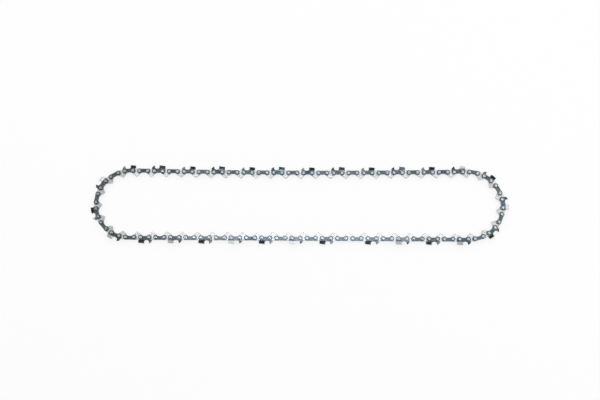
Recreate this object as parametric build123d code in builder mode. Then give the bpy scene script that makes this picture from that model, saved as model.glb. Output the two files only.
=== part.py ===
from build123d import *

import os
from math import asin, atan2, cos, degrees, hypot, pi, radians, sin, sqrt

# Low-profile saw chain, closed into a loop and lying on its side
# Millimetres. Rivets stand along Z, the loop is longest along X, and left-hand cutters face up

# Loop
drive_links = 59
pitch = 9.32  # half the distance over three rivets in a row
rivet_stagger = 1.01  # outer links are longer than the pitch by this, drive links shorter
end_radius = 41.8  # rivet line round both ends of the loop
top_run_sag = 2.1  # the far run hangs in by this much at its middle
first_link_x = 53.6  # middle of the link after which the pattern repeats

# Drive link
gauge = 1.3  # thickness, which fits the groove of the guide bar
drive_end_radius = 3.05
tang_depth = 7.3  # rivet line to the tip of the tang
tang_tip_radius = 0.6
tang_setback = 0.6  # the tip trails the middle of the link by this

# Tie straps, and the same outline at the foot of each cutter
plate_thickness = 1.2
plate_end_radius = 3.1
rail_notch = 1.5  # between the two feet that ride on the bar
crown_dip = 0.3  # on the outer edge
waist_fillet = 1.5
edge_break = 0.14

# Rivets
flange_diameter = 4.2
hub_diameter = 3.0
head_diameter = 4.7
head_rim = 0.22
head_dome = 0.5
pivot_play = 0.04  # radial, drive link on flange
side_play = 0.05  # each side, drive link between plates

# Cutters
cutter_height = 7.6  # rivet line to the cutting corner
depth_gauge_setting = 0.65  # depth gauge below the cutting corner
depth_gauge_land = 0.9
depth_gauge_back = -4.85  # along the link, from its middle
depth_gauge_ramp = 2.2
gullet_floor = 3.3
gullet_radius = 2.6
file_radius = 2.7
file_rise = 1.25  # of the filed hollow above the cutting corner
file_angle = 30.0
top_plate_length = 7.8
top_plate_width = 4.2
top_plate_thickness = 1.0
top_relief = 1.0  # the top plate falls towards its heel
side_relief = 0.35  # the side plate draws in towards its heel
side_flare = 1.35  # the side plate leans out past its foot
corner_chamfer = 0.45
heel_overhang = 0.25
cutter_toe = 0.6
flare_clearance = 0.6  # from a rivet head to the bend of the side plate

# Sizes that follow
outer_spacing = pitch + rivet_stagger
drive_spacing = pitch - rivet_stagger
plate_inner = gauge / 2 + side_play
plate_outer = plate_inner + plate_thickness
outer_holes = ((-outer_spacing / 2, 0), (outer_spacing / 2, 0))
drive_holes = ((-drive_spacing / 2, 0), (drive_spacing / 2, 0))
plate_end = outer_spacing / 2 + plate_end_radius


# Drive link: two eyes and a tang under one taut outline
with BuildPart() as drive_link:
    with BuildSketch(Plane.XY.offset(-gauge / 2)):
        with Locations(*drive_holes):
            Circle(drive_end_radius)
        with Locations((tang_setback, tang_tip_radius - tang_depth)):
            Circle(tang_tip_radius)
        make_hull()
        with Locations(*drive_holes):
            Circle(flange_diameter / 2 + pivot_play, mode=Mode.SUBTRACT)
    extrude(amount=gauge)
    rims = drive_link.faces().filter_by(Axis.Z)
    chamfer([face.outer_wire().edges() for face in rims], edge_break)
drive_link.part.label = "drive_link"

# Outline shared by tie straps and the feet of cutters
with BuildSketch() as plate_outline:
    waist_top = plate_end_radius - crown_dip
    waist_bottom = rail_notch - plate_end_radius
    with Locations(*outer_holes):
        Circle(plate_end_radius)
    with Locations((0, (waist_top + waist_bottom) / 2)):
        Rectangle(outer_spacing, waist_top - waist_bottom)
    inside_corners = plate_outline.vertices().filter_by_position(Axis.X, -outer_spacing / 2, outer_spacing / 2)
    fillet(inside_corners, waist_fillet)

# Tie strap, drawn on the near side of the chain
with BuildPart() as tie_strap:
    with BuildSketch(Plane.XY.offset(plate_inner)):
        add(plate_outline.sketch)
        with Locations(*outer_holes):
            Circle(hub_diameter / 2, mode=Mode.SUBTRACT)
    extrude(amount=plate_thickness)
    rims = tie_strap.faces().filter_by(Axis.Z)
    chamfer([face.outer_wire().edges() for face in rims], edge_break)
tie_strap.part.label = "tie_strap"

# Rivet: flange in the middle, a hub in each plate and a spun head outside it
with BuildPart() as rivet:
    dome_radius = ((head_diameter / 2) ** 2 + head_dome**2) / (2 * head_dome)
    dome_angle = degrees(asin(head_diameter / 2 / dome_radius))
    head_top = plate_outer + head_rim + head_dome
    with BuildSketch(Plane.XZ):
        with BuildLine():
            Polyline(
                (0, head_top),
                (0, 0),
                (flange_diameter / 2, 0),
                (flange_diameter / 2, plate_inner),
                (hub_diameter / 2, plate_inner),
                (hub_diameter / 2, plate_outer),
                (head_diameter / 2, plate_outer),
                (head_diameter / 2, plate_outer + head_rim),
            )
            CenterArc((0, head_top - dome_radius), dome_radius, 90 - dome_angle, dome_angle)
        make_face()
    revolve(axis=Axis.Z)
    mirror(about=Plane.XY)
rivet.part.label = "rivet"


# Section of a cutter's side plate and top plate, as points across and up
def cutter_section(top, side, free_end):
    flare_start = head_diameter / 2 + flare_clearance
    return (
        (0, plate_inner),
        (flare_start, plate_inner),
        (top - top_plate_thickness, side - plate_thickness),
        (top - top_plate_thickness, free_end),
        (top, free_end),
        (top, side - corner_chamfer),
        (top - corner_chamfer, side),
        (flare_start, plate_outer),
        (0, plate_outer),
    )


# Left-hand cutter: foot, depth gauge, side plate and top plate, stamped from one sheet
with BuildPart() as left_cutter:
    corner_side = plate_outer + side_flare
    free_end = corner_side - top_plate_width
    heel = plate_end + heel_overhang
    corner = heel - top_plate_length
    gauge_top = cutter_height - depth_gauge_setting
    with BuildSketch(Plane.XY.offset(plate_inner)) as foot:
        with BuildLine():
            Polyline(
                (-plate_end, 0),
                (-plate_end, gauge_top - depth_gauge_ramp),
                (depth_gauge_back - depth_gauge_land, gauge_top),
                (depth_gauge_back, gauge_top),
                (depth_gauge_back, gullet_floor),
                (corner + file_radius / 2, gullet_floor),
                (corner + file_radius / 2, 0),
                close=True,
            )
        make_face()
        gullet_corner = foot.vertices().sort_by_distance((depth_gauge_back, gullet_floor))[0]
        fillet(gullet_corner, min(gullet_radius, (gauge_top - gullet_floor) * 0.9))
        add(plate_outline.sketch)
    extrude(amount=plate_thickness)
    with BuildSketch(Plane.YZ.offset(corner - cutter_toe)):
        Polygon(*cutter_section(cutter_height, corner_side, free_end), align=None)
    with BuildSketch(Plane.YZ.offset(heel)):
        Polygon(
            *cutter_section(cutter_height - top_relief, corner_side - side_relief, free_end + side_relief),
            align=None,
        )
    loft(ruled=True)
    # filed hollow, which leaves the cutting corner ahead of the rest of the edge
    file_half_chord = sqrt(2 * file_radius * file_rise - file_rise**2)
    file_axis = (sin(radians(file_angle)), 0, -cos(radians(file_angle)))
    file_centre = (
        corner - file_half_chord / cos(radians(file_angle)),
        cutter_height + file_rise - file_radius,
        corner_side,
    )
    with Locations(Plane(origin=file_centre, z_dir=file_axis)):
        Cylinder(file_radius, 4 * (corner_side + top_plate_width), mode=Mode.SUBTRACT)
    with BuildSketch(Plane.XY.offset(plate_inner)):
        with Locations(*outer_holes):
            Circle(hub_diameter / 2)
    extrude(amount=plate_thickness, mode=Mode.SUBTRACT)
left_cutter.part.label = "left_cutter"

# Right-hand cutter: the same, on the other side of the chain
with BuildPart() as right_cutter:
    mirror(left_cutter.part, about=Plane.XY)
right_cutter.part.label = "right_cutter"

# Far tie strap
with BuildPart() as far_strap:
    mirror(tie_strap.part, about=Plane.XY)
far_strap.part.label = "far_strap"


# Circle that the sagging run follows: its distance from the end centres, and its lean at the ends
def sag_circle(half):
    reach = (half**2 / top_run_sag + top_run_sag) / 2
    return reach, asin(half / reach)


# Length of the rivet line, for half the distance between the two end centres
def line_length(half):
    reach, lean = sag_circle(half)
    return 2 * half + 2 * end_radius * (pi + lean) + 2 * (reach - end_radius) * lean


# Point on the rivet line: straight run, first end, sagging run, second end
def line_point(along, half):
    reach, lean = sag_circle(half)
    sag_radius = reach - end_radius
    along = along % line_length(half)
    if along < 2 * half:
        return along - half, -end_radius
    along -= 2 * half
    if along < end_radius * (pi + lean):
        turn = along / end_radius - pi / 2
        return half + end_radius * cos(turn), end_radius * sin(turn)
    along -= end_radius * (pi + lean)
    if along < 2 * sag_radius * lean:
        turn = lean - pi / 2 - along / sag_radius
        return sag_radius * cos(turn), reach * cos(lean) + sag_radius * sin(turn)
    along -= 2 * sag_radius * lean
    turn = pi / 2 - lean + along / end_radius
    return end_radius * cos(turn) - half, end_radius * sin(turn)


# Place along the line of the next rivet, one link further on
def next_rivet(along, spacing, half):
    start = line_point(along, half)
    near = spacing
    far = spacing * 1.3
    for _ in range(45):
        middle = (near + far) / 2
        end = line_point(along + middle, half)
        if hypot(end[0] - start[0], end[1] - start[1]) < spacing:
            near = middle
        else:
            far = middle
    return along + far


# All rivets in the order of travel, and the first one again after a full round
def rivets_along(half):
    places = [half + first_link_x - outer_spacing / 2]
    for _ in range(drive_links):
        places.append(next_rivet(places[-1], outer_spacing, half))
        places.append(next_rivet(places[-1], drive_spacing, half))
    return places


# The two ends are as far apart as the chain's length allows
short = pitch
long = pitch * drive_links
for _ in range(50):
    half_length = (short + long) / 2
    places = rivets_along(half_length)
    if places[-1] - places[0] > line_length(half_length):
        short = half_length
    else:
        long = half_length
rivet_points = [line_point(along, half_length) for along in places[:-1]]


# Seat of a link between its leading and its trailing rivet
def seat(leading, trailing):
    middle = ((leading[0] + trailing[0]) / 2, (leading[1] + trailing[1]) / 2, 0)
    turn = degrees(atan2(trailing[1] - leading[1], trailing[0] - leading[0]))
    return Location(middle, (0, 0, turn))


# Straps and cutters take turns, right-hand and left-hand, and an odd count leaves one more strap pair
def link_plates(number):
    place = number - drive_links % 2
    if place < 0 or place % 2 == 0:
        return "tie_straps", tie_strap.part, far_strap.part
    if place // 2 % 2 == 0:
        return "right_cutter", tie_strap.part, right_cutter.part
    return "left_cutter", left_cutter.part, far_strap.part


# Each link: two outer plates, the two rivets that hold them, and the drive link ahead
links = []
for number in range(drive_links):
    trailing = rivet_points[2 * number]
    leading = rivet_points[2 * number + 1]
    ahead = rivet_points[(2 * number + 2) % len(rivet_points)]
    kind, near_plate, far_plate = link_plates(number)
    link = Compound(
        label=f"link_{number + 1:02d}_{kind}",
        children=[
            near_plate.moved(seat(leading, trailing)),
            far_plate.moved(seat(leading, trailing)),
            rivet.part.moved(Location((*trailing, 0))),
            rivet.part.moved(Location((*leading, 0))),
            drive_link.part.moved(seat(ahead, leading)),
        ],
    )
    links.append(link)

# The loop rests on the corners of the right-hand cutters, with its middle over the origin
boxes = [link.bounding_box() for link in links]
left = min(box.min.X for box in boxes)
right = max(box.max.X for box in boxes)
front = min(box.min.Y for box in boxes)
back = max(box.max.Y for box in boxes)
floor = min(box.min.Z for box in boxes)
rest = Location((-(left + right) / 2, -(front + back) / 2, -floor))

os.makedirs("parts", exist_ok=True)
for link in links:
    placed = link.moved(rest)
    placed.label = link.label
    export_step(placed, f"parts/{link.label}.step")
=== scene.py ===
from math import atan2, cos, pi, radians, sin, sqrt

import bmesh
import bpy
from mathutils import Matrix, Vector


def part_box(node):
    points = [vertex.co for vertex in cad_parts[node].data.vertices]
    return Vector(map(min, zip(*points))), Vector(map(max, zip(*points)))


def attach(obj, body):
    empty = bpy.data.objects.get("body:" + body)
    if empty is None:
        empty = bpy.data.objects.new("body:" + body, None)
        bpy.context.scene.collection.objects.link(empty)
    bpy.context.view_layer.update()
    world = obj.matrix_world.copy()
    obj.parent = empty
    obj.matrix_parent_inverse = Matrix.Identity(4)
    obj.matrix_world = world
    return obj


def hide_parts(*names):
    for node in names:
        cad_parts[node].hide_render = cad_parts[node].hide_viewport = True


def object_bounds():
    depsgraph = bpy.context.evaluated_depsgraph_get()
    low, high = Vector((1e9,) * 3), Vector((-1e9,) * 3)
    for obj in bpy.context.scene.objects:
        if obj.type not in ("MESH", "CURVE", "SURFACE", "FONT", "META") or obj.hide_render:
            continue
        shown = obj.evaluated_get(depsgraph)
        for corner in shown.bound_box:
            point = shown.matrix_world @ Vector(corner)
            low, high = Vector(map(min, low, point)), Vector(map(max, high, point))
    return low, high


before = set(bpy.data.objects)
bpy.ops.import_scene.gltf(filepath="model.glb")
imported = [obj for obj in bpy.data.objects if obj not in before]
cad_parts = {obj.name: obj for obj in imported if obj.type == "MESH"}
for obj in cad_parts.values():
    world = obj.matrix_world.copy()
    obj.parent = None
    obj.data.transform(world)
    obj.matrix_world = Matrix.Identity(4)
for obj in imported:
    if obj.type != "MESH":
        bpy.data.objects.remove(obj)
cad_low, cad_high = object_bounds()

# Sizes of the links in millimetres, the same as those of the solids that they stand for
MM = 0.001
outer_spacing = 10.33
drive_spacing = 8.31
plate_inner = 0.70
plate_outer = 1.90
plate_end_radius = 3.1
rail_notch = 1.5
crown_dip = 0.3
waist_fillet = 1.5

gauge = 1.3
drive_end_radius = 3.05
drive_hole_radius = 2.14
tang_depth = 7.3
tang_tip_radius = 0.6
tang_setback = 0.6

flange_radius = 2.1
hub_radius = 1.5
head_radius = 2.35
head_rim = 0.22
head_dome = 0.5

cutter_height = 7.6
depth_gauge_top = 6.95
depth_gauge_land = 0.9
depth_gauge_back = -4.85
depth_gauge_ramp = 2.2
gullet_floor = 3.3
gullet_radius = 2.6
file_radius = 2.7
file_rise = 1.25
file_angle = radians(30.0)
top_plate_length = 7.8
top_plate_width = 4.2
top_plate_thickness = 1.0
top_relief = 1.0
side_relief = 0.35
side_flare = 1.35
corner_chamfer = 0.45
heel_overhang = 0.25
cutter_toe = 0.6
flare_clearance = 0.6

# Fine forms that the solids leave out
edge_break = 0.14
cutter_edge_break = 0.09
die_roll = 0.26
die_roll_drop = 0.11
head_dimple_radius = 0.62
head_dimple_depth = 0.09
spin_groove_radius = 1.42
spin_groove_width = 0.2
spin_groove_depth = 0.045
rim_round = head_rim / 2
rim_shoulder_in = 0.3  # of the rim's rounding
rim_shoulder_up = 0.55

# Sizes that follow
plate_end = outer_spacing / 2 + plate_end_radius
plate_top = plate_end_radius - crown_dip
head_top = plate_outer + head_rim + head_dome
corner_side = plate_outer + side_flare
free_end = corner_side - top_plate_width
heel = plate_end + heel_overhang
corner = heel - top_plate_length
tooth_front = corner + file_radius / 2
drill_length = 4 * plate_outer
file_length = 4 * (corner_side + top_plate_width)

# Centres of the fillets between a plate's waist and its round ends, from the middle of the end
fillet_reach = plate_end_radius + waist_fillet
rail_drop = rail_notch - plate_end_radius - waist_fillet
rail_across = sqrt(fillet_reach**2 - rail_drop**2)
crown_rise = plate_end_radius - crown_dip + waist_fillet
crown_across = sqrt(fillet_reach**2 - crown_rise**2)

# How finely round forms are divided
rail_fillet_steps = 8
crown_fillet_steps = 4
plate_end_steps = 36
gullet_steps = 12
drive_end_steps = 96
tang_tip_steps = 48
edge_segments = 3
hole_sides = 64
file_sides = 128
rivet_sides = 40
head_rings = 22

# Limits for meshes
same_point = 1e-6
outline_digits = 6
straight_turn = 1e-9
flat_corners = 60  # a drive link's flats have more corners than this, all its other faces fewer
sharp_edge = radians(40)
smooth_limit = radians(38)
weld_reach = 0.001
file_reach = 0.02
tip_reach = 1e-7  # in metres, as the frame is

# How a face leans, as a share of its normal: through the sheet, or for the underside up the cutter
upright_lean = 0.3
rounded_lean = 0.97
flat_lean = 0.99
underside_lean = -0.5
crown_margin = 0.4  # the cutting part starts this far below the floor of the gullet

# Order of the material slots on every link
STRAP, DRIVE, RIVET, EDGE_AND_SHADE, RIM_AND_SHADE, WEAR_AND_SHEEN, CUTTER, FILED_SHADE, PAINTED_SHADE = range(9)


# Points of an arc, both ends included
def arc(centre, radius, start, end, steps):
    points = []
    for step in range(steps + 1):
        angle = start + (end - start) * step / steps
        points.append((centre[0] + radius * cos(angle), centre[1] + radius * sin(angle)))
    return points


# The right-hand half of a strap's outline: rail side, round end, outer side
def rail_side():
    centre = (outer_spacing / 2 - rail_across, rail_drop)
    return arc(centre, waist_fillet, pi / 2, atan2(-rail_drop, rail_across), rail_fillet_steps)


def round_end(end=atan2(crown_rise, -crown_across)):
    start = atan2(rail_drop, -rail_across)
    return arc((outer_spacing / 2, 0), plate_end_radius, start, end, plate_end_steps)


def outer_side():
    centre = (outer_spacing / 2 - crown_across, crown_rise)
    return arc(centre, waist_fillet, atan2(-crown_rise, crown_across), -pi / 2, crown_fillet_steps)


# One closed outline from stretches that share their end points
def joined(*stretches):
    points = []
    for stretch in stretches:
        for point in stretch:
            if not points or (Vector(point) - Vector(points[-1])).length > same_point:
                points.append(point)
    if (Vector(points[0]) - Vector(points[-1])).length < same_point:
        points.pop()
    return points


def mirrored(points):
    return [(-x, y) for x, y in reversed(points)]


def strap_outline():
    half = joined(rail_side(), round_end(), outer_side())
    return joined(half, mirrored(half))


def cutter_foot_outline():
    right = joined(rail_side(), round_end(), outer_side())
    left = mirrored(joined(rail_side(), round_end(end=0)))
    gullet_centre = (depth_gauge_back + gullet_radius, gullet_floor + gullet_radius)
    tooth = [
        (tooth_front, plate_top),
        (tooth_front, gullet_floor),
        *arc(gullet_centre, gullet_radius, -pi / 2, -pi, gullet_steps),
        (depth_gauge_back, depth_gauge_top),
        (depth_gauge_back - depth_gauge_land, depth_gauge_top),
        (-plate_end, depth_gauge_top - depth_gauge_ramp),
    ]
    return joined(right, tooth, left)


# Twice the area between three points, positive for a turn to the left
def turn_of(a, b, c):
    return (b[0] - a[0]) * (c[1] - a[1]) - (b[1] - a[1]) * (c[0] - a[0])


# Taut outline round the two eyes and the tip of the tang
def drive_outline():
    points = []
    for side in (-1, 1):
        points += arc((side * drive_spacing / 2, 0), drive_end_radius, 0, 2 * pi, drive_end_steps)
    tang_tip = (tang_setback, tang_tip_radius - tang_depth)
    points += arc(tang_tip, tang_tip_radius, 0, 2 * pi, tang_tip_steps)
    points = sorted(set((round(x, outline_digits), round(y, outline_digits)) for x, y in points))
    chains = []
    for ordered in (points, points[::-1]):
        chain = []
        for point in ordered:
            while len(chain) > 1 and turn_of(chain[-2], chain[-1], point) <= straight_turn:
                chain.pop()
            chain.append(point)
        chains.append(chain[:-1])
    return chains[0] + chains[1]


# A flat plate from its outline, as a bmesh
def prism(outline, low, high):
    plate = bmesh.new()
    bottom = plate.faces.new([plate.verts.new((x, y, low)) for x, y in outline])
    grown = bmesh.ops.extrude_face_region(plate, geom=[bottom])
    raised = [e for e in grown["geom"] if isinstance(e, bmesh.types.BMVert)]
    bmesh.ops.translate(plate, verts=raised, vec=(0, 0, high - low))
    bmesh.ops.recalc_face_normals(plate, faces=plate.faces)
    return plate


# Rounds every edge that is sharper than the limit
def round_edges(solid, width):
    sharp = [e for e in solid.edges if len(e.link_faces) == 2 and e.calc_face_angle() > sharp_edge]
    bmesh.ops.bevel(
        solid, geom=sharp, offset=width, offset_type="OFFSET", segments=edge_segments,
        profile=0.5, affect="EDGES", clamp_overlap=True,
    )


# Turns a bmesh into a mesh and frees it
def as_mesh(solid, name):
    mesh = bpy.data.meshes.new(name)
    solid.to_mesh(mesh)
    solid.free()
    return mesh


def cylinder(radius, length, matrix, sides):
    solid = bmesh.new()
    bmesh.ops.create_cone(
        solid, cap_ends=True, cap_tris=False, segments=sides,
        radius1=radius, radius2=radius, depth=length, matrix=matrix,
    )
    return solid


# Union or difference of two meshes
def combined(first, second, operation):
    pair = [bpy.data.objects.new("solid", mesh) for mesh in (first, second)]
    for solid in pair:
        bpy.context.scene.collection.objects.link(solid)
    step = pair[0].modifiers.new("step", "BOOLEAN")
    step.operation = operation
    step.solver = "EXACT"
    step.object = pair[1]
    view = bpy.context.evaluated_depsgraph_get()
    result = bpy.data.meshes.new_from_object(pair[0].evaluated_get(view))
    for solid in pair:
        bpy.data.objects.remove(solid)
    return result


# Closes up the slivers that a union or difference can leave
def welded(mesh):
    solid = bmesh.new()
    solid.from_mesh(mesh)
    bmesh.ops.remove_doubles(solid, verts=solid.verts, dist=weld_reach)
    bmesh.ops.dissolve_degenerate(solid, edges=solid.edges, dist=weld_reach)
    return as_mesh(solid, mesh.name)


def with_holes(mesh, radius, spacing):
    for side in (-1, 1):
        place = Matrix.Translation((side * spacing / 2, 0, 0))
        drill = as_mesh(cylinder(radius, drill_length, place, hole_sides), "drill")
        mesh = combined(mesh, drill, "DIFFERENCE")
    return welded(mesh)


def tie_strap():
    plate = prism(strap_outline(), plate_inner, plate_outer)
    round_edges(plate, edge_break)
    return with_holes(as_mesh(plate, "tie_strap"), hub_radius, outer_spacing)


# A punched plate, with a rim all round its flats that the die has rolled over
def drive_link():
    rim_height = gauge / 2 - die_roll_drop
    plate = prism(drive_outline(), -rim_height, rim_height)
    round_edges(plate, edge_break)
    flats = [face for face in plate.faces if len(face.verts) > flat_corners]
    bmesh.ops.inset_individual(plate, faces=flats, thickness=die_roll, depth=die_roll_drop)
    return with_holes(as_mesh(plate, "drive_link"), drive_hole_radius, drive_spacing)


# Section of a cutter's side plate and top plate, as points up and across
def cutter_section(top, side, end):
    bend = head_radius + flare_clearance
    return (
        (0, plate_inner),
        (bend, plate_inner),
        (top - top_plate_thickness, side - (plate_outer - plate_inner)),
        (top - top_plate_thickness, end),
        (top, end),
        (top, side - corner_chamfer),
        (top - corner_chamfer, side),
        (bend, plate_outer),
        (0, plate_outer),
    )


# The side plate and top plate between the section at the corner and the one at the heel
def cutter_crown():
    crown = bmesh.new()
    toe_section = cutter_section(cutter_height, corner_side, free_end)
    heel_section = cutter_section(
        cutter_height - top_relief, corner_side - side_relief, free_end + side_relief
    )
    sections = ((corner - cutter_toe, toe_section), (heel, heel_section))
    rings = [[crown.verts.new((x, y, z)) for y, z in points] for x, points in sections]
    for ring in rings:
        crown.faces.new(ring)
    count = len(rings[0])
    for i in range(count):
        j = (i + 1) % count
        crown.faces.new((rings[0][i], rings[0][j], rings[1][j], rings[1][i]))
    bmesh.ops.recalc_face_normals(crown, faces=crown.faces)
    return crown


# Place and direction of the round file that hollows the cutting edge
def file_place():
    half_chord = sqrt(2 * file_radius * file_rise - file_rise**2)
    centre = Vector((
        corner - half_chord / cos(file_angle),
        cutter_height + file_rise - file_radius,
        corner_side,
    ))
    direction = Vector((sin(file_angle), 0, -cos(file_angle)))
    return centre, direction


# Foot and crown are rounded before they are joined: the short edges where they meet leave no room later
def left_cutter():
    foot = prism(cutter_foot_outline(), plate_inner, plate_outer)
    crown = cutter_crown()
    for solid in (foot, crown):
        round_edges(solid, cutter_edge_break)
    body = welded(combined(as_mesh(foot, "foot"), as_mesh(crown, "crown"), "UNION"))
    centre, direction = file_place()
    turn = direction.to_track_quat("Z", "Y").to_matrix().to_4x4()
    file = cylinder(file_radius, file_length, Matrix.Translation(centre) @ turn, file_sides)
    mesh = combined(body, as_mesh(file, "file"), "DIFFERENCE")
    return with_holes(mesh, hub_radius, outer_spacing)


# Faces that the file has cut lie on its cylinder
def is_filed(mesh, face):
    centre, direction = file_place()
    for index in face.vertices:
        arm = mesh.vertices[index].co - centre
        distance = (arm - arm.dot(direction) * direction).length
        if abs(distance - file_radius) > file_reach:
            return False
    return True


# Height of a spun rivet head over its radius: dome, centre dimple and the groove of the spinning tool
def head_height(radius):
    dome_radius = (head_radius**2 + head_dome**2) / (2 * head_dome)
    height = head_top - dome_radius + sqrt(dome_radius**2 - radius**2)
    if radius < head_dimple_radius:
        height -= head_dimple_depth * (1 - (radius / head_dimple_radius) ** 2) ** 2
    swing = (radius - spin_groove_radius) / spin_groove_width
    if abs(swing) < 1:
        height -= spin_groove_depth * (1 - swing**2) ** 2
    return height


# Half the section of a stepped rivet from tip to tip, as radius and height
def rivet_profile():
    profile = [(0.0, head_height(0.0))]
    for i in range(1, head_rings + 1):
        radius = (head_radius - rim_round) * i / head_rings
        profile.append((radius, head_height(radius)))
    edge = plate_outer + head_rim - rim_round / 2
    profile += [
        (head_radius - rim_round * rim_shoulder_in, edge + rim_round * rim_shoulder_up),
        (head_radius, edge),
        (head_radius, plate_outer),
        (hub_radius, plate_outer),
        (hub_radius, plate_inner),
        (flange_radius, plate_inner),
    ]
    return profile + [(radius, -height) for radius, height in reversed(profile)]


# Stepped rivet, turned about its axis
def rivet():
    solid = bmesh.new()
    angles = [2 * pi * k / rivet_sides for k in range(rivet_sides)]
    loops = []
    for radius, height in rivet_profile():
        if radius == 0:
            loops.append([solid.verts.new((0, 0, height))])
            continue
        loops.append([solid.verts.new((radius * cos(a), radius * sin(a), height)) for a in angles])
    for upper, lower in zip(loops, loops[1:]):
        for k in range(rivet_sides):
            n = (k + 1) % rivet_sides
            if len(upper) == 1:
                solid.faces.new((upper[0], lower[k], lower[n]))
            elif len(lower) == 1:
                solid.faces.new((upper[k], lower[0], upper[n]))
            else:
                solid.faces.new((upper[k], lower[k], lower[n], upper[n]))
    bmesh.ops.recalc_face_normals(solid, faces=solid.faces)
    return as_mesh(solid, "rivet")


# The same mesh on the other side of the chain
def other_side(mesh):
    flipped = mesh.copy()
    flipped.transform(Matrix.Diagonal((1, 1, -1, 1)))
    flipped.flip_normals()
    return flipped


# The rounded edges of a plate lean, neither flat nor upright
def is_rounded(face):
    return upright_lean < abs(face.normal.z) < rounded_lean


def painted_strap(mesh):
    for face in mesh.polygons:
        # upright sides: dark punched steel, partly a painted shade along the outline
        side = EDGE_AND_SHADE if abs(face.normal.z) < upright_lean else STRAP
        # rounded edges: edge wear with a painted highlight
        face.material_index = WEAR_AND_SHEEN if is_rounded(face) else side
    return mesh


# The flat of a drive link is ground, its rim and sides are as punched and painted darker, partly as a
# painted shade along the outline
def painted_drive(mesh):
    for face in mesh.polygons:
        ground = abs(face.normal.z) > flat_lean and len(face.vertices) > 4
        face.material_index = DRIVE if ground else RIM_AND_SHADE
    return mesh


# The side of the cutting part that faces the chain, and the underside of its top plate, are painted near
# black as a painted shade
def painted_cutter(mesh):
    for face in mesh.polygons:
        crown = face.center.x > 0 and face.center.y > gullet_floor - crown_margin
        under = face.normal.y < underside_lean and face.center.z < plate_outer
        in_shade = face.normal.z < -upright_lean or under
        # painted shade: the inward faces and the underside of the cutting part are painted near black
        face.material_index = PAINTED_SHADE if crown and in_shade else CUTTER
        if is_rounded(face) and face.center.y < plate_end_radius:
            # rounded edges: edge wear with a painted highlight
            face.material_index = WEAR_AND_SHEEN
        if is_filed(mesh, face):
            # painted shade in the filed hollow
            face.material_index = FILED_SHADE
    return mesh


def painted_rivet(mesh):
    for face in mesh.polygons:
        face.material_index = RIVET
    return mesh


# Rivet centres, from the tips of the rivet heads on the near side of each node
link_nodes = sorted(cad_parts)
strap_node = next(name for name in link_nodes if name.endswith("tie_straps"))
near_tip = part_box(strap_node)[1].z
far_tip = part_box(strap_node)[0].z
mid_height = (near_tip + far_tip) / 2


def rivet_centres(name):
    centres = []
    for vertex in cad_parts[name].data.vertices:
        place = vertex.co.xy
        at_tip = abs(vertex.co.z - near_tip) < tip_reach
        if at_tip and all((place - centre).length > MM for centre in centres):
            centres.append(place.copy())
    return centres


pairs = [rivet_centres(name) for name in link_nodes]
leading, trailing = [], []
for number, pair in enumerate(pairs):
    following = pairs[(number + 1) % len(pairs)]
    ordered = sorted(pair, key=lambda centre: min((centre - other).length for other in following))
    leading.append(ordered[0])
    trailing.append(ordered[1])


# Seat of a link between its leading and its trailing rivet, from millimetres to the frame
def seat(front, back):
    middle = (front + back) / 2
    along = back - front
    turn = Matrix.Rotation(atan2(along.y, along.x), 4, "Z")
    return Matrix.Translation((middle.x, middle.y, mid_height)) @ turn @ Matrix.Scale(MM, 4)


def rivet_seat(centre, turn):
    place = Matrix.Translation((centre.x, centre.y, mid_height))
    return place @ Matrix.Rotation(turn, 4, "Z") @ Matrix.Scale(MM, 4)


# Noise values between which a finish goes from its darkest to its lightest
noise_low = 0.3
noise_high = 0.7


def node_of(tree, kind, **values):
    node = tree.nodes.new(kind)
    for key, value in values.items():
        setattr(node, key, value)
    return node


# Puts a value or a colour on a socket, or a link from another node
def feed(tree, socket, value):
    if isinstance(value, bpy.types.NodeSocket):
        tree.links.new(value, socket)
    elif isinstance(value, tuple):
        socket.default_value = (*value, 1)
    else:
        socket.default_value = value


def new_material(name, metallic):
    material = bpy.data.materials.new(name)
    material.use_nodes = True
    tree = material.node_tree
    shader = tree.nodes["Principled BSDF"]
    shader.inputs["Metallic"].default_value = metallic
    return material, tree, shader


# A share that is stored on each link's faces
def stored_share(tree, name):
    return node_of(tree, "ShaderNodeAttribute", attribute_name=name).outputs["Fac"]


# A point's place in its own part, in millimetres
def own_place(tree):
    return node_of(tree, "ShaderNodeAttribute", attribute_name="local").outputs["Vector"]


# Noise over the chain, with the size of its blotches in millimetres
def noise(tree, size, detail=3.0, roughness=0.55):
    place = node_of(tree, "ShaderNodeTexCoord")
    texture = node_of(tree, "ShaderNodeTexNoise")
    texture.inputs["Scale"].default_value = 1 / (size * MM)
    texture.inputs["Detail"].default_value = detail
    texture.inputs["Roughness"].default_value = roughness
    tree.links.new(place.outputs["Object"], texture.inputs["Vector"])
    return texture.outputs["Fac"]


# Noise drawn out along a part, in the part's own axes and in millimetres
def grain(tree, size, stretch, detail=3.0):
    mapping = node_of(tree, "ShaderNodeMapping")
    mapping.inputs["Scale"].default_value = stretch
    tree.links.new(own_place(tree), mapping.inputs["Vector"])
    texture = node_of(tree, "ShaderNodeTexNoise")
    texture.inputs["Scale"].default_value = 1 / size
    texture.inputs["Detail"].default_value = detail
    tree.links.new(mapping.outputs["Vector"], texture.inputs["Vector"])
    return texture.outputs["Fac"]


# Rings about a rivet's axis, as a spinning tool leaves them
def spun_rings(tree, radius):
    texture = node_of(tree, "ShaderNodeTexNoise", noise_dimensions="1D")
    texture.inputs["Scale"].default_value = 7.0
    texture.inputs["Detail"].default_value = 2.0
    tree.links.new(radius, texture.inputs["W"])
    return texture.outputs["Fac"]


# One of a part's own axes, in millimetres
def local_axis(tree, axis):
    axes = node_of(tree, "ShaderNodeSeparateXYZ")
    tree.links.new(own_place(tree), axes.inputs["Vector"])
    return axes.outputs[axis]


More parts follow.
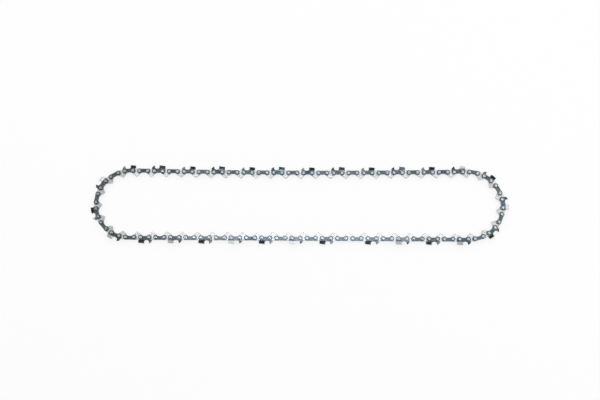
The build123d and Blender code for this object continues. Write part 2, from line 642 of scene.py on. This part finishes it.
# Distance from a rivet's axis, in millimetres
def off_axis(tree):
    flat = node_of(tree, "ShaderNodeVectorMath", operation="MULTIPLY")
    flat.inputs[1].default_value = (1, 1, 0)
    tree.links.new(own_place(tree), flat.inputs[0])
    length = node_of(tree, "ShaderNodeVectorMath", operation="LENGTH")
    tree.links.new(flat.outputs["Vector"], length.inputs[0])
    return length.outputs["Value"]


def combined_value(tree, operation, first, second=0.0):
    node = node_of(tree, "ShaderNodeMath", operation=operation)
    feed(tree, node.inputs[0], first)
    feed(tree, node.inputs[1], second)
    return node.outputs["Value"]


def product(tree, first, *others):
    for other in others:
        first = combined_value(tree, "MULTIPLY", first, other)
    return first


def ramp(tree, source, stops):
    node = node_of(tree, "ShaderNodeValToRGB")
    points = node.color_ramp.elements
    while len(points) < len(stops):
        points.new(0.5)
    for point, (place, colour) in zip(points, stops):
        point.position = place
        point.color = (*colour, 1)
    tree.links.new(source, node.inputs["Fac"])
    return node.outputs["Color"]


# Two tones of one finish, over the values of a noise
def tones(tree, source, dark, light, start=noise_low, end=noise_high):
    return ramp(tree, source, [(start, dark), (end, light)])


def spread(tree, source, low, high, start=noise_low, end=noise_high):
    node = node_of(tree, "ShaderNodeMapRange")
    node.inputs["From Min"].default_value = start
    node.inputs["From Max"].default_value = end
    node.inputs["To Min"].default_value = low
    node.inputs["To Max"].default_value = high
    tree.links.new(source, node.inputs["Value"])
    return node.outputs["Result"]


def rising(tree, source, start, end):
    return spread(tree, source, 0.0, 1.0, start, end)


def falling(tree, source, start, end):
    return spread(tree, source, 1.0, 0.0, start, end)


def mixed(tree, factor, first, second, blend="MIX"):
    node = node_of(tree, "ShaderNodeMix", data_type="RGBA", blend_type=blend)
    colours = [socket for socket in node.inputs if socket.type == "RGBA"]
    feed(tree, node.inputs["Factor"], factor)
    feed(tree, colours[0], first)
    feed(tree, colours[1], second)
    return next(socket for socket in node.outputs if socket.type == "RGBA")


# Colour, roughness and bump of a metal, with the height of its bumps in millimetres
def finish(tree, shader, colour, roughness, bump, strength, height):
    tree.links.new(colour, shader.inputs["Base Color"])
    tree.links.new(roughness, shader.inputs["Roughness"])
    node = node_of(tree, "ShaderNodeBump")
    node.inputs["Strength"].default_value = strength
    node.inputs["Distance"].default_value = height * MM
    tree.links.new(bump, node.inputs["Height"])
    tree.links.new(node.outputs["Normal"], shader.inputs["Normal"])


# Temper colours: each link came out of the oven a little different, from grey to pale, violet, teal or
# blue; the share of grey is partly a painted shade, set by where the link lies round the loop
def temper_and_light_colour(tree):
    cast = stored_share(tree, "cast")
    cloud = noise(tree, 4.0)
    grey = tones(tree, cloud, dark=(0.078, 0.088, 0.088), light=(0.15, 0.165, 0.165))
    pale = tones(tree, cloud, dark=(0.18, 0.2, 0.208), light=(0.28, 0.31, 0.32))
    violet = tones(tree, cloud, dark=(0.145, 0.19, 0.27), light=(0.25, 0.305, 0.395))
    teal = tones(tree, cloud, dark=(0.11, 0.2, 0.25), light=(0.21, 0.33, 0.39))
    blue = tones(tree, cloud, dark=(0.075, 0.125, 0.215), light=(0.14, 0.2, 0.32))
    colour = mixed(tree, rising(tree, cast, 0.0, 0.4), pale, violet)
    colour = mixed(tree, rising(tree, cast, 0.5, 0.86), colour, teal)
    colour = mixed(tree, rising(tree, cast, 0.88, 0.92), colour, blue)
    # the share of grey is a painted shade at the left-hand end of the loop, beside the real scatter of
    # temper
    return mixed(tree, stored_share(tree, "temper_and_light"), grey, colour)


# Fine marks that tumbling leaves along a plate
def tumbled_grain(tree):
    return grain(tree, 0.5, (0.35, 1.6, 1.0), detail=4.0)


# Blued and tumbled steel of the tie straps, darker as a painted shade where a link has little painted light
def strap_steel():
    material, tree, shader = new_material("blued_strap_and_painted_light", metallic=1.0)
    # painted shade: straps with little painted light come out darker
    tone = spread(tree, stored_share(tree, "painted_light"), 0.8, 1.0, start=0.35, end=0.95)
    colour = mixed(tree, 1.0, temper_and_light_colour(tree), tone, "MULTIPLY")
    roughness = spread(tree, noise(tree, 1.2), 0.26, 0.4)
    finish(tree, shader, colour, roughness, tumbled_grain(tree), strength=0.25, height=0.02)
    return material


# Pale satin steel of the drive links, with a painted shade that darkens those round the ends of the loop
def drive_steel():
    material, tree, shader = new_material("satin_drive_link_and_painted_shade", metallic=0.85)
    lines = grain(tree, 0.35, (0.2, 2.0, 1.0), detail=4.0)
    tone = product(tree, combined_value(tree, "ADD", noise(tree, 4.0), lines), 0.5)
    shaded_tone = tones(tree, tone, dark=(0.37, 0.38, 0.38), light=(0.53, 0.54, 0.54))
    bright = tones(tree, tone, dark=(0.69, 0.73, 0.75), light=(0.86, 0.9, 0.92))
    # painted shade: drive links round the ends of the loop get the darker tone
    colour = mixed(tree, stored_share(tree, "drive_light"), shaded_tone, bright)
    roughness = spread(tree, lines, 0.3, 0.45)
    finish(tree, shader, colour, roughness, lines, strength=0.2, height=0.015)
    return material


# Where the bright middle of a rivet head ends and its dark rim starts, in millimetres from the axis; the
# dark rim is partly the unspun steel and partly a painted shade round the head
bright_end = 1.4
rim_start = 1.85


# Bright spun steel of the rivets, dark on the rim where the spinning tool doesn't reach and with a painted
# shade there; a painted light sets how bright each head is
def rivet_steel():
    material, tree, shader = new_material("spun_rivet_and_painted_light", metallic=1.0)
    radius = off_axis(tree)
    rings = spun_rings(tree, radius)
    cloud = noise(tree, 1.6)
    shaded_tone = tones(tree, cloud, (0.2, 0.222, 0.23), (0.32, 0.342, 0.35), start=0.25, end=0.75)
    lit_tone = tones(tree, cloud, (0.66, 0.73, 0.765), (0.84, 0.91, 0.945), start=0.25, end=0.75)
    # painted light: how bright each rivet head comes out, by where it lies round the loop
    painted_light = stored_share(tree, "painted_light")
    bright = mixed(tree, painted_light, shaded_tone, lit_tone)
    # painted shade: the rim of the head is painted near black, partly the real unspun steel
    dark = tones(tree, noise(tree, 0.8), dark=(0.05, 0.055, 0.06), light=(0.09, 0.1, 0.11))
    outside = rising(tree, radius, bright_end, rim_start)
    # the rim's painted shade is lighter where the painted light is stronger
    rim = product(tree, outside, spread(tree, painted_light, 1.0, 0.75, start=0.0, end=1.0))
    colour = mixed(tree, rim, bright, dark)
    roughness = spread(tree, rings, 0.2, 0.36)
    finish(tree, shader, colour, roughness, rings, strength=0.35, height=0.02)
    return material


# Punched sides and rims of the plates, a cool grey between two levels, darker than the flats partly as
# punched steel and partly as a painted shade along the outlines
def punched_and_shaded_steel(name, low, high):
    material, tree, shader = new_material(name, metallic=1.0)
    lines = grain(tree, 0.4, (2.0, 2.0, 0.25))
    dark = (low, low * 1.03, low * 1.06)
    light = (high, high * 1.02, high * 1.04)
    roughness = spread(tree, lines, 0.4, 0.58)
    finish(tree, shader, tones(tree, lines, dark, light), roughness, lines, strength=0.25, height=0.015)
    return material


# Rounded edges of the plates, paler than the flats in patches: partly edge wear, partly a painted highlight
# where the rims catch the light
def wear_and_sheen_steel():
    material, tree, shader = new_material("wear_and_sheen_edge", metallic=1.0)
    bare = tones(tree, noise(tree, 0.8), dark=(0.3, 0.32, 0.33), light=(0.5, 0.53, 0.545))
    wear_and_sheen_share = spread(tree, noise(tree, 2.5), 0.25, 1.0)
    colour = mixed(tree, wear_and_sheen_share, temper_and_light_colour(tree), bare)
    roughness = spread(tree, noise(tree, 1.2), 0.24, 0.38)
    finish(tree, shader, colour, roughness, tumbled_grain(tree), strength=0.25, height=0.02)
    return material


# Where the finish of a cutter changes, in its own axes: along it, up it, and through the sheet
dark_gauge_front = depth_gauge_back - 0.4
dark_gauge_back = depth_gauge_back + 1.8
dark_gauge_top = gullet_floor + 1.6
plating_front = corner - 1.2
plating_back = corner - 0.2
plating_top = gullet_floor + 0.9
sheet_inside = 1.0
sheet_outside = 1.5


# Chrome over blued steel on the cutters, with a painted light and shade on the chrome from link to link,
# and the outer face of the depth gauge painted near black
def cutter_steel():
    material, tree, shader = new_material("chromed_cutter_with_painted_light", metallic=1.0)
    along = local_axis(tree, "X")
    up = local_axis(tree, "Y")
    through = combined_value(tree, "ABSOLUTE", local_axis(tree, "Z"))
    outside = rising(tree, through, sheet_inside, sheet_outside)
    inside = combined_value(tree, "SUBTRACT", 1.0, outside)
    depth_gauge = product(
        tree, falling(tree, along, dark_gauge_front, dark_gauge_back), rising(tree, up, gullet_floor, dark_gauge_top)
    )
    tooth = product(
        tree, rising(tree, along, plating_front, plating_back),
        rising(tree, up, plate_end_radius, plating_top),
    )
    plated = combined_value(tree, "MAXIMUM", tooth, product(tree, depth_gauge, inside))
    # the outer face of the depth gauge is painted near black
    dark_gauge = product(tree, depth_gauge, outside)
    cloud = noise(tree, 2.0)
    shaded_chrome = tones(tree, cloud, dark=(0.1, 0.104, 0.106), light=(0.17, 0.175, 0.178))
    lit_chrome = tones(tree, cloud, dark=(0.62, 0.64, 0.65), light=(0.76, 0.78, 0.79))
    # painted light and shade on the chrome, by where the cutter lies round the loop
    chrome = mixed(tree, stored_share(tree, "plating"), shaded_chrome, lit_chrome)
    black = tones(tree, noise(tree, 1.5), dark=(0.045, 0.047, 0.05), light=(0.1, 0.103, 0.11))
    colour = mixed(tree, plated, temper_and_light_colour(tree), chrome)
    colour = mixed(tree, dark_gauge, colour, black)
    roughness = spread(tree, noise(tree, 1.0), 0.19, 0.33)
    lines = grain(tree, 0.4, (0.3, 1.8, 1.0), detail=4.0)
    finish(tree, shader, colour, roughness, lines, strength=0.2, height=0.015)
    return material


# Filed steel in the hollow of each cutting edge, kept dark as a painted shade
def shaded_filed_steel():
    material, tree, shader = new_material("filed_edge_painted_shade", metallic=1.0)
    lines = grain(tree, 0.3, (0.4, 4.0, 0.4), detail=2.0)
    colour = tones(tree, lines, dark=(0.1, 0.1, 0.105), light=(0.2, 0.2, 0.205))
    roughness = spread(tree, lines, 0.22, 0.36)
    finish(tree, shader, colour, roughness, lines, strength=0.2, height=0.015)
    return material


# Near-black painted shade on the inner side of the cutting part
def painted_shade_steel():
    material, tree, shader = new_material("painted_shade_black", metallic=0.4)
    colour = tones(tree, noise(tree, 1.5), dark=(0.025, 0.027, 0.029), light=(0.06, 0.063, 0.066))
    roughness = spread(tree, noise(tree, 0.6), 0.45, 0.65)
    finish(tree, shader, colour, roughness, noise(tree, 0.3, detail=4.0), strength=0.3, height=0.02)
    return material


# In the order of the slots
materials = [
    strap_steel(),
    drive_steel(),
    rivet_steel(),
    punched_and_shaded_steel("punched_edge_and_shade", low=0.09, high=0.19),
    punched_and_shaded_steel("rolled_rim_and_shade", low=0.38, high=0.52),
    wear_and_sheen_steel(),
    cutter_steel(),
    shaded_filed_steel(),
    painted_shade_steel(),
]

near_strap = painted_strap(tie_strap())
far_strap = other_side(near_strap)
near_cutter = painted_cutter(left_cutter())
far_cutter = other_side(near_cutter)
link_rivet = painted_rivet(rivet())
link_drive = painted_drive(drive_link())

# Places along the loop where the finish and its painted light and shade change, in metres from its middle
front_run_middle, front_run_half = -0.005, 0.14
far_run_middle, far_run_half = 0.04, 0.09
run_fade = 0.018  # about one link
temper_shade_from, temper_shade_to = -0.22, -0.12
# where the painted light on rivets and straps starts at the left-hand end
painted_light_from, painted_light_to = -0.24, -0.19
# where the painted shade on the drive links starts and ends, as distance from the middle
drive_shade_from, drive_shade_to = 0.19, 0.23
# where the painted light on the cutters' chrome changes
plating_right_from, plating_right_to = 0.1, 0.22
plating_left_from, plating_left_to = 0.2, 0.28
plating_front_half = 0.15
front_cutters_below = -0.02

# Shares of each finish and of its painted light and shade there
# least at the left-hand end, where it is a painted shade; most elsewhere
shaded_temper, unshaded_temper = 0.1, 0.9
least_of_link = 0.45
# painted light: the temper colour pales in the middle of each run
front_paler, far_paler = 0.5, 0.9
# painted light on the cutters' chrome
right_hand_plating_front, right_hand_plating_far = 0.1, 0.45
least_plating_front, most_plating_front = 0.3, 0.9
# painted light on the drive links at each end of the loop
left_end_drive_light, right_end_drive_light = 0.1, 0.62
# painted light on rivets and straps, plain and along the front run
plain_painted_light, front_painted_light = 0.42, 0.8

# Steps that scatter the finish from link to link
share_start = 0.37
temper_step = 0.618
cast_step = 0.445
trailing_turn = 0.2
leading_turn = 0.7


# A steady share between 0 and 1 for each link
def share_of(number, step):
    return (number * step + share_start) % 1.0


# How far a value has come from a start to an end, between 0 and 1
def progress(value, start, end):
    return min(max((value - start) / (end - start), 0.0), 1.0)


def between(first, second, share):
    return first + (second - first) * share


# How far a link lies inside the middle stretch of its run: 0 outside, 1 inside, between them over one link
def inside_run(number):
    place = leading[number]
    front = place.y < 0
    middle = front_run_middle if front else far_run_middle
    half = front_run_half if front else far_run_half
    return 1.0 - progress(abs(place.x - middle), half - run_fade / 2, half + run_fade / 2)


# Share of colour in a link's temper, with a real scatter from link to link and a painted shade and light by
# place: nearly grey at the left-hand end, the most in the middle of both runs
def temper_and_light_of(number):
    place = leading[number]
    temper_and_light = between(shaded_temper, unshaded_temper, progress(place.x, temper_shade_from, temper_shade_to))
    temper_and_light *= between(least_of_link, 1.0, share_of(number, temper_step))
    paler = front_paler if place.y < 0 else far_paler
    return between(temper_and_light, 1.0, paler * inside_run(number))


# Share of painted light on a cutter's chrome, by where the cutter lies round the loop: the right-hand ones
# show their chrome only on the depth gauge
def plating_of(number, kind):
    place = leading[number]
    front = place.y <= front_cutters_below
    if kind == "right_cutter":
        return right_hand_plating_front if front else right_hand_plating_far
    if front:
        off_middle = progress(abs(place.x), 0.0, plating_front_half)
        return between(most_plating_front, least_plating_front, off_middle)
    to_right = progress(place.x, plating_right_from, plating_right_to)
    to_left = progress(-place.x, plating_left_from, plating_left_to)
    return max(to_right, to_left)


# Share of painted light on a drive link: all of it along both runs, less round the ends, where the rest is
# a painted shade
def drive_light_of(number):
    place = leading[number]
    end_satin = left_end_drive_light if place.x < 0 else right_end_drive_light
    return between(1.0, end_satin, progress(abs(place.x), drive_shade_from, drive_shade_to))


# Share of painted light on rivets and straps: none at the left-hand end, the most along the front run
def painted_light_of(number):
    place = leading[number]
    most = front_painted_light if place.y < 0 else plain_painted_light
    cleared = progress(place.x, painted_light_from, painted_light_to)
    return cleared * between(plain_painted_light, most, inside_run(number))


# The two plates, the two rivets and the drive link ahead, each with its seat
def link_parts(number, kind):
    here = seat(leading[number], trailing[number])
    ahead = trailing[(number + 1) % len(link_nodes)]
    return (
        (near_cutter if kind == "left_cutter" else near_strap, here),
        (far_cutter if kind == "right_cutter" else far_strap, here),
        (link_rivet, rivet_seat(trailing[number], number + trailing_turn)),
        (link_rivet, rivet_seat(leading[number], number + leading_turn)),
        (link_drive, seat(ahead, leading[number])),
    )


# One mesh for a link, which keeps each point's place in its own part
def link_mesh(name, parts):
    solid = bmesh.new()
    own_places = []
    for mesh, place in parts:
        own_places += [value for vertex in mesh.vertices for value in vertex.co]
        copy = mesh.copy()
        copy.transform(place)
        solid.from_mesh(copy)
        bpy.data.meshes.remove(copy)
    mesh = as_mesh(solid, name)
    mesh.polygons.foreach_set("use_smooth", [True] * len(mesh.polygons))
    mesh.set_sharp_from_angle(angle=smooth_limit)
    local = mesh.attributes.new("local", "FLOAT_VECTOR", "POINT")
    local.data.foreach_set("vector", own_places)
    return mesh


def store_shares(mesh, shares):
    for name, share in shares.items():
        values = mesh.attributes.new(name, "FLOAT", "FACE")
        values.data.foreach_set("value", [share] * len(mesh.polygons))


# One object for each link
for number, name in enumerate(link_nodes):
    body = name[: len("link_00")]
    kind = name.split("_", 2)[2]
    mesh = link_mesh(body + "_finished", link_parts(number, kind))
    for material in materials if "cutter" in kind else materials[:CUTTER]:
        mesh.materials.append(material)
    shares = {
        "temper_and_light": temper_and_light_of(number),
        "cast": share_of(number, cast_step),
        "plating": plating_of(number, kind),
        "drive_light": drive_light_of(number),
        "painted_light": painted_light_of(number),
    }
    store_shares(mesh, shares)
    piece = bpy.data.objects.new(body + "_finished", mesh)
    bpy.context.scene.collection.objects.link(piece)
    shading = piece.modifiers.new("flat_faces", "WEIGHTED_NORMAL")
    shading.keep_sharp = True
    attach(piece, body)
    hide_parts(name)

# Floor, which looks nearly white and keeps the shadow of the chain
floor_half = 40.0
floor_colour = (0.95, 0.95, 0.95, 1)
floor_roughness = 0.9
floor_white = 0.8  # share of plain white where the floor is seen
floor_corners = [
    (-floor_half, -floor_half, 0),
    (floor_half, -floor_half, 0),
    (floor_half, floor_half, 0),
    (-floor_half, floor_half, 0),
]
floor_mesh = bpy.data.meshes.new("floor")
floor_mesh.from_pydata(floor_corners, [], [(0, 1, 2, 3)])
floor = bpy.data.objects.new("floor", floor_mesh)
bpy.context.scene.collection.objects.link(floor)
floor.location.z = cad_low.z
floor_paint, floor_tree, floor_shader = new_material("floor_paint", metallic=0.0)
floor_shader.inputs["Base Color"].default_value = floor_colour
floor_shader.inputs["Roughness"].default_value = floor_roughness
floor_shader.inputs["Specular IOR Level"].default_value = 0.0
white = node_of(floor_tree, "ShaderNodeEmission")
white.inputs["Color"].default_value = (1, 1, 1, 1)
white.inputs["Strength"].default_value = 1.0
path = node_of(floor_tree, "ShaderNodeLightPath").outputs
seen = combined_value(floor_tree, "MAXIMUM", path["Is Camera Ray"], path["Is Glossy Ray"])
seen = combined_value(floor_tree, "MAXIMUM", seen, path["Is Transmission Ray"])
blend = node_of(floor_tree, "ShaderNodeMixShader")
floor_tree.links.new(product(floor_tree, seen, floor_white), blend.inputs["Fac"])
floor_tree.links.new(floor_shader.outputs["BSDF"], blend.inputs[1])
floor_tree.links.new(white.outputs["Emission"], blend.inputs[2])
floor_tree.links.new(blend.outputs["Shader"], floor_tree.nodes["Material Output"].inputs["Surface"])
floor_mesh.materials.append(floor_paint)

# Soft light all round, darker towards the front, over a pale horizon
sky_front, sky_back = -0.8, 0.6
sky_greys = ((0.0, 0.06), (0.5, 0.2), (1.0, 0.42))  # from front to back
horizon_grey = 0.86
horizon_low, horizon_high = radians(14), radians(26)
world = bpy.data.worlds.new("studio")
bpy.context.scene.world = world
world.use_nodes = True
sky = world.node_tree
direction = node_of(sky, "ShaderNodeTexCoord")
axes = node_of(sky, "ShaderNodeSeparateXYZ")
sky.links.new(direction.outputs["Generated"], axes.inputs["Vector"])
depth = rising(sky, axes.outputs["Y"], sky_front, sky_back)
glow = ramp(sky, depth, [(place, (grey,) * 3) for place, grey in sky_greys])
horizon = falling(sky, axes.outputs["Z"], sin(horizon_low), sin(horizon_high))
backdrop = mixed(sky, horizon, glow, (horizon_grey,) * 3)
sky.links.new(backdrop, sky.nodes["Background"].inputs["Color"])


# Unit vector from the loop towards a place round it and above it, with azimuth 0 at the front
def outward(azimuth, elevation):
    return Vector((
        sin(azimuth) * cos(elevation),
        -cos(azimuth) * cos(elevation),
        sin(elevation),
    ))


# A soft panel that faces the loop, with its angles in degrees and its sizes in metres
def panel(name, azimuth, elevation, distance, width, height, power):
    lamp = bpy.data.lights.new(name, "AREA")
    lamp.shape = "RECTANGLE"
    lamp.size = width
    lamp.size_y = height
    lamp.energy = power
    light = bpy.data.objects.new(name, lamp)
    bpy.context.scene.collection.objects.link(light)
    back = outward(radians(azimuth), radians(elevation))
    light.location = back * distance
    light.rotation_mode = "QUATERNION"
    light.rotation_quaternion = (-back).to_track_quat("-Z", "Y")


panel("back_panel", azimuth=180, elevation=44, distance=1.6, width=3.0, height=1.3, power=13.0)
panel("left_panel", azimuth=270, elevation=46, distance=1.6, width=1.2, height=1.0, power=5.5)
panel("right_panel", azimuth=90, elevation=46, distance=1.6, width=1.2, height=1.0, power=5.5)
panel("top_panel", azimuth=0, elevation=88.5, distance=1.4, width=0.7, height=0.22, power=2.1)
panel("front_panel", azimuth=45, elevation=52, distance=1.6, width=0.9, height=0.7, power=3.0)

# Camera over the loop, a little to the front
aim = Vector((1.934, 5.914, 3.2)) * MM
camera_distance = 1.0
camera_elevation = radians(80.658)
camera_azimuth = radians(8.323)
camera_roll = radians(0.486)
camera_lens = 48.477
camera_sensor = 36.0
camera_near, camera_far = 0.05, 20.0
camera = bpy.data.cameras.new("camera")
camera.sensor_width = camera_sensor
camera.lens = camera_lens
camera.clip_start = camera_near
camera.clip_end = camera_far
eye = bpy.data.objects.new("camera", camera)
bpy.context.scene.collection.objects.link(eye)
back = outward(camera_azimuth, camera_elevation)
right = (-back).cross(Vector((0, 1, 0))).normalized()
up = right.cross(-back)
tilted_right = right * cos(camera_roll) + up * sin(camera_roll)
tilted_up = up * cos(camera_roll) - right * sin(camera_roll)
turn = Matrix((tilted_right, tilted_up, back)).transposed()
eye.matrix_world = Matrix.Translation(aim + back * camera_distance) @ turn.to_4x4()
bpy.context.scene.camera = eye

bpy.context.scene.view_settings.view_transform = "Standard"
